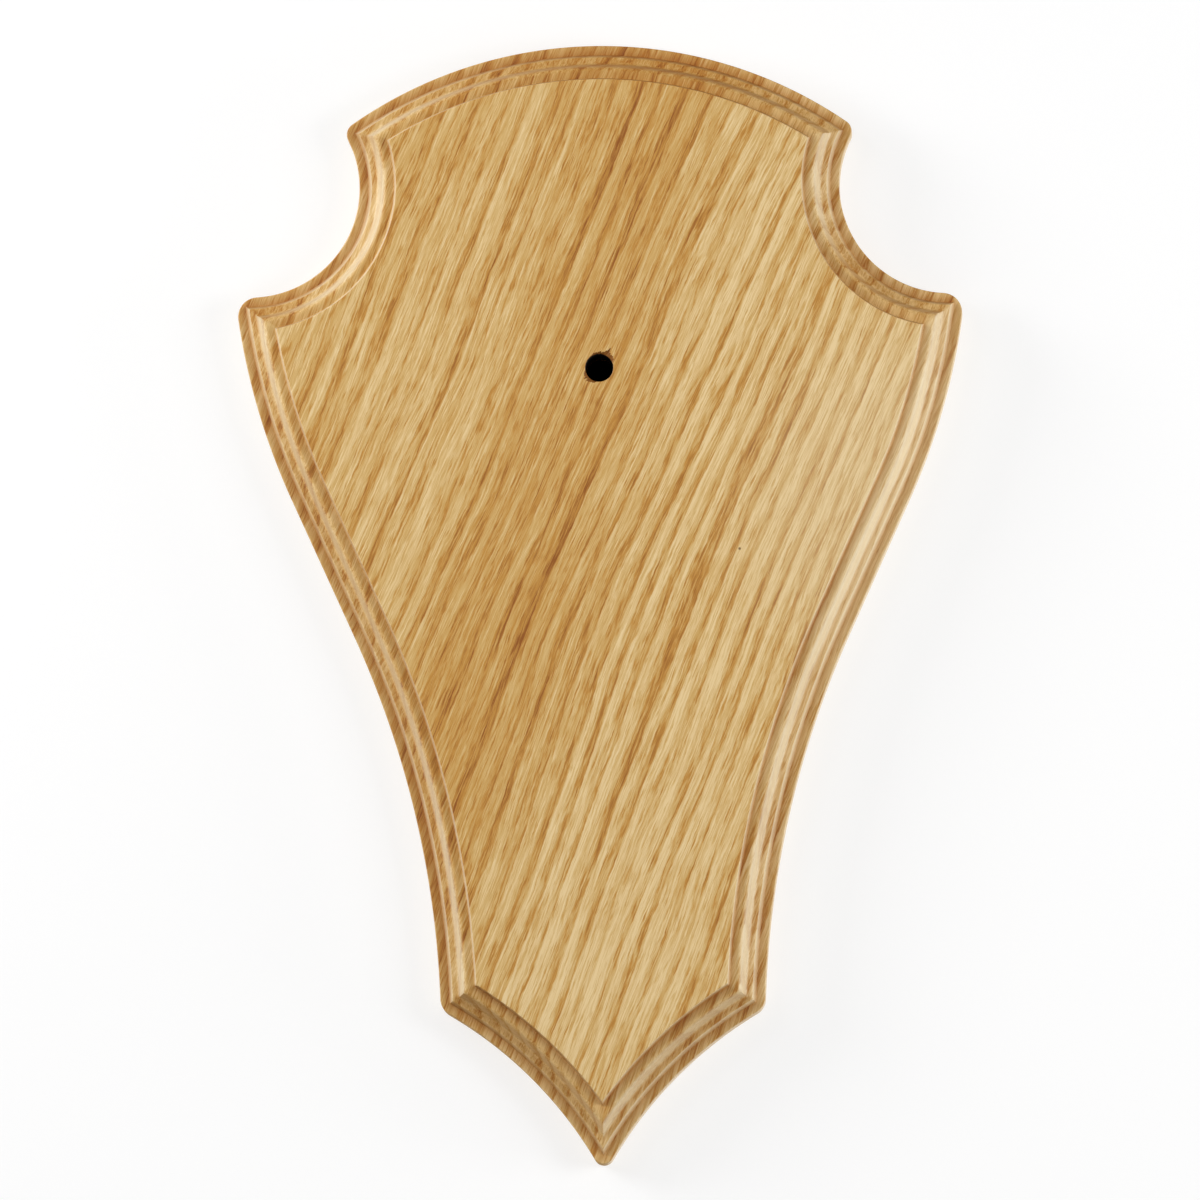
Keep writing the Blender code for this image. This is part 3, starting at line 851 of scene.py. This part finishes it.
def chip_reach(angle):
    """How far past the drilled rim the wood is torn away in one direction."""
    reach = 0.0
    for middle, spread_out, most in CHIPS:
        off = (angle - middle + pi) % (2 * pi) - pi
        reach = max(reach, most * max(0.0, 1 - (off / spread_out) ** 2))
    return reach * max(0.0, 1 + CHIP_UNEVENNESS * noise.noise(Vector((angle * CHIP_NOTCHES, 0.0, 0.0))))


def hole_ring(sizes, centre, depth_in, y, extra=0.0):
    """One ring of the drilled hole at a depth below the face, with the chips' share of that depth."""
    places = []
    share_left = max(0.0, 1 - depth_in / CHIP_FLOOR)
    for side in range(HOLE_SIDES):
        angle = 2 * pi * side / HOLE_SIDES
        rough = ROUGH_WALL * noise.noise(Vector((cos(angle) * ROUGH_ROUND, sin(angle) * ROUGH_ROUND,
                                                 y * ROUGH_DOWN)))
        radius = sizes.hole_diameter / 2 + extra + rough + chip_reach(angle) * share_left
        places.append(Vector((centre.x + radius * cos(angle), y, centre.z + radius * sin(angle))))
    return places


def moulded_edge(bm, scene, rings, section):
    """The board's edge, from the border of the back to the border of the face."""
    moulding = scene.plaque_moulding
    finish_and_shade = bm.verts.layers.float[SHADE_AND_FINISH]
    soaked_and_shaded = bm.verts.layers.float[SOAK_AND_LOW_SHADE]
    fibre_way = fibre_direction(scene.plaque_oak)
    outer = next(places for places, (inset, _) in zip(rings, section) if inset == 0.0)
    ways = outward_ways(outer)
    ring = closed_ring(bm, rings[0])
    for places, (inset, height) in zip(rings[1:], section[1:]):
        ring = extruded_ring(bm, ring, places)
        amount = finish_and_painted_shade(moulding, inset, height)
        share_soaked_and_shaded = soak_and_shade_share(moulding, inset, height)
        for vert, way in zip(ring, ways):
            # Finish with painted shade, more of it on edges facing right and down
            vert[finish_and_shade] = min(1.0, amount * facing_shade(moulding, inset, way))
            # Finish drunk by end grain, and painted shade on edges that face down
            vert[soaked_and_shaded] = share_soaked_and_shaded * thirst_and_low_shade(way, fibre_way)


def drilled_hole(bm, sizes, centre):
    """The hole's wall, from its border on the face, past the torn wood, to its border on the back, with
    painted shade that blackens it deeper in.
    """
    scorch_and_hole_shade = bm.verts.layers.float[SCORCH_AND_HOLE_SHADE]
    face = -sizes.thickness
    outer, inner = HOLE_BORDERS
    wall = closed_ring(bm, hole_ring(sizes, centre, 0.0, face, extra=outer))
    wall = extruded_ring(bm, wall, hole_ring(sizes, centre, 0.0, face, extra=inner))
    for depth_in in (*CHIP_DEPTHS, sizes.thickness / 2, sizes.thickness - HOLE_EASE):
        level = face + max(HOLE_EASE / 3, depth_in)
        wall = extruded_ring(bm, wall, hole_ring(sizes, centre, depth_in, level))
        for vert in wall:
            patchy = SCORCH_AND_SHADE_LEVEL + SCORCH_AND_SHADE_UNEVENNESS * noise.noise(vert.co * SCORCH_AND_SHADE_PATCHES)
            # Painted shade: the wall turns black deeper in the hole
            deeper_shade = max(0.0, depth_in / CHIP_FLOOR - HOLE_SHADE_DEEPENS)
            vert[scorch_and_hole_shade] = min(1.0, max(0.0, patchy) + deeper_shade)
    for vert in wall:
        vert[scorch_and_hole_shade] = WALL_END_SCORCH_AND_SHADE
    for extra, darkness in BACK_SCORCH:
        wall = extruded_ring(bm, wall, hole_ring(sizes, centre, sizes.thickness, 0.0, extra=extra))
        for vert in wall:
            vert[scorch_and_hole_shade] = darkness


class PLAQUE_OT_board(bpy.types.Operator):
    """Make the oak board: outline, moulding, eased edges and drilled hole"""

    bl_idname = "plaque.board"
    bl_label = "Make the board"

    def execute(self, context):
        scene = context.scene
        sizes = scene.plaque_outline
        rings, middle = board_places(scene)
        section = Section(scene.plaque_moulding, sizes.thickness).build()
        bm = bmesh.new()
        for name in (SHADE_AND_FINISH, SCORCH_AND_HOLE_SHADE, SOAK_AND_LOW_SHADE):
            bm.verts.layers.float.new(name)
        moulded_edge(bm, scene, rings, section)
        drilled_hole(bm, sizes, Vector((0.0, 0.0, -sizes.hole_drop - middle)))
        bmesh.ops.remove_doubles(bm, verts=bm.verts, dist=MERGE_DISTANCE)
        for level in (-sizes.thickness, 0.0):
            open_edges = [edge for edge in bm.edges
                          if edge.is_boundary and abs(edge.verts[0].co.y - level) < MERGE_DISTANCE]
            bmesh.ops.triangle_fill(bm, use_beauty=True, use_dissolve=False, edges=open_edges)
        bmesh.ops.recalc_face_normals(bm, faces=bm.faces)
        mesh = bpy.data.meshes.new("oak_board")
        bm.to_mesh(mesh)
        bm.free()
        mesh.shade_smooth()
        mesh.set_sharp_from_angle(angle=SHARP_ANGLE)
        mesh.materials.append(oak_material(scene.plaque_oak))
        board = bpy.data.objects.new("oak_board", mesh)
        context.collection.objects.link(board)
        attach(board, "root")
        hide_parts("plaque")
        return {"FINISHED"}


def soft_light(name, way, strength):
    """A large soft light that faces the board from one way; strength is how bright its surface looks."""
    lamp = bpy.data.lights.new(name, "AREA")
    lamp.shape = "RECTANGLE"
    lamp.size = LIGHT_SIZE
    lamp.size_y = LIGHT_SIZE
    lamp.energy = strength * pi * LIGHT_SIZE * LIGHT_SIZE
    holder = bpy.data.objects.new(name, lamp)
    facing = (-way).to_track_quat("-Z", "Y").to_matrix().to_4x4()
    holder.matrix_world = Matrix.Translation(LIGHTS_AIM + way * LIGHT_DISTANCE) @ facing
    bpy.context.collection.objects.link(holder)


def backdrop_paint(hole_place):
    """Glowing white in front, with a painted shadow where the board's hole opens on to it, and clear from
    behind.
    """
    material = bpy.data.materials.new("backdrop_paint")
    recipe = Recipe(material)
    recipe.shader.inputs["Roughness"].default_value = 1.0
    recipe.shader.inputs["Specular IOR Level"].default_value = 0.0
    recipe.shader.inputs["Emission Color"].default_value = WHITE
    place = recipe.node("ShaderNodeTexCoord").outputs["Object"]
    # A painted shadow behind the hole, so that the hole reads dark
    outside_hole_shadow = recipe.between(recipe.direct("DISTANCE", place, hole_place), *HOLE_SHADOW_SPOT)
    recipe.feed(recipe.shader.inputs["Base Color"], recipe.mixed(outside_hole_shadow, BLACK, BACKDROP_GREY))
    recipe.feed(recipe.shader.inputs["Emission Strength"], recipe.weighed(outside_hole_shadow, BACKDROP_GLOW))
    clear = recipe.node("ShaderNodeBsdfTransparent")
    behind = recipe.node("ShaderNodeNewGeometry").outputs["Backfacing"]
    sides = {"Fac": behind, 1: recipe.shader.outputs[0], 2: clear.outputs[0]}
    both = recipe.node("ShaderNodeMixShader", sides)
    recipe.feed(recipe.tree.nodes["Material Output"].inputs["Surface"], both.outputs[0])
    return material


def set_camera(context, stage):
    """The camera, square on to the board but for a few degrees, as far off as a long lens stands."""
    aim = Vector((stage.aim_across, 0.0, stage.aim_up))
    back = Vector((sin(stage.beside) * cos(stage.below), -cos(stage.beside) * cos(stage.below),
                   -sin(stage.below)))
    lens = bpy.data.cameras.new("camera")
    lens.sensor_width = SENSOR_WIDTH
    lens.lens = lens.sensor_width * stage.camera_distance / stage.view_width
    lens.clip_end = FARTHEST_SEEN
    camera = bpy.data.objects.new("camera", lens)
    turned = (-back).to_track_quat("-Z", "Y").to_matrix() @ Matrix.Rotation(-stage.roll, 3, "Z")
    camera.matrix_world = Matrix.Translation(aim + back * stage.camera_distance) @ turned.to_4x4()
    context.collection.objects.link(camera)
    context.scene.camera = camera


def set_surroundings(context, stage):
    """Surroundings that look white to the camera and light the board softly."""
    world = bpy.data.worlds.new("pale_surroundings")
    world.use_nodes = True
    nodes = world.node_tree.nodes
    glow = nodes["Background"]
    glow.inputs["Color"].default_value = WHITE
    rays = nodes.new("ShaderNodeLightPath")
    seen = nodes.new("ShaderNodeMapRange")
    seen.inputs["To Min"].default_value = stage.fill
    seen.inputs["To Max"].default_value = SEEN_SURROUNDINGS
    world.node_tree.links.new(rays.outputs["Is Camera Ray"], seen.inputs["Value"])
    world.node_tree.links.new(seen.outputs["Result"], glow.inputs["Strength"])
    context.scene.world = world


def hang_backdrop(context):
    """The pale sheet behind the board, in place of a floor, which this low camera would see edge on, with a
    painted shadow behind the hole.
    """
    bm = bmesh.new()
    bmesh.ops.create_grid(bm, x_segments=1, y_segments=1, size=BACKDROP_REACH)
    bmesh.ops.rotate(bm, verts=bm.verts, cent=(0.0, 0.0, 0.0), matrix=Matrix.Rotation(pi / 2, 3, "X"))
    bmesh.ops.translate(bm, verts=bm.verts, vec=(0.0, BACKDROP_GAP, 0.0))
    mesh = bpy.data.meshes.new("backdrop")
    bm.to_mesh(mesh)
    bm.free()
    _, middle = board_places(context.scene)
    hole_place = Vector((0.0, BACKDROP_GAP, -context.scene.plaque_outline.hole_drop - middle))
    mesh.materials.append(backdrop_paint(hole_place))
    sheet = bpy.data.objects.new("backdrop", mesh)
    context.collection.objects.link(sheet)


class PLAQUE_OT_stage(bpy.types.Operator):
    """Set up the camera, the soft lights, the pale surroundings and the pale sheet behind the board"""

    bl_idname = "plaque.stage"
    bl_label = "Set the stage"

    def execute(self, context):
        stage = context.scene.plaque_stage
        set_camera(context, stage)
        for name, side, rise, up, strength in LIGHTS:
            way = Vector((side * cos(rise) * cos(up), -sin(rise), cos(rise) * sin(up)))
            soft_light(name, way, strength * stage.light)
        set_surroundings(context, stage)
        hang_backdrop(context)
        context.scene.view_settings.view_transform = "Standard"
        return {"FINISHED"}


class PLAQUE_PT_sidebar(bpy.types.Panel):
    """The plaque's operators and sizes"""

    bl_idname = "PLAQUE_PT_sidebar"
    bl_label = "Antler Mounting Plaque"
    bl_space_type = "VIEW_3D"
    bl_region_type = "UI"
    bl_category = "Plaque"

    def draw(self, context):
        layout = self.layout
        for operator in (PLAQUE_OT_board, PLAQUE_OT_stage):
            layout.operator(operator.bl_idname)
        for group in (context.scene.plaque_outline, context.scene.plaque_moulding,
                      context.scene.plaque_oak, context.scene.plaque_stage):
            box = layout.box()
            for name in group.bl_rna.properties.keys():
                if name not in ("rna_type", "name"):
                    box.prop(group, name)


GROUPS = {
    "plaque_outline": PlaqueOutline,
    "plaque_moulding": PlaqueMoulding,
    "plaque_oak": PlaqueOak,
    "plaque_stage": PlaqueStage,
}
TOOLS = (PLAQUE_OT_board, PLAQUE_OT_stage, PLAQUE_PT_sidebar)


def register():
    for item in (*GROUPS.values(), *TOOLS):
        bpy.utils.register_class(item)
    for name, group in GROUPS.items():
        setattr(bpy.types.Scene, name, PointerProperty(type=group))


def unregister():
    for name in GROUPS:
        delattr(bpy.types.Scene, name)
    for item in reversed((*GROUPS.values(), *TOOLS)):
        bpy.utils.unregister_class(item)


def main():
    register()
    bpy.ops.plaque.board()
    bpy.ops.plaque.stage()


if __name__ == "__main__":
    main()
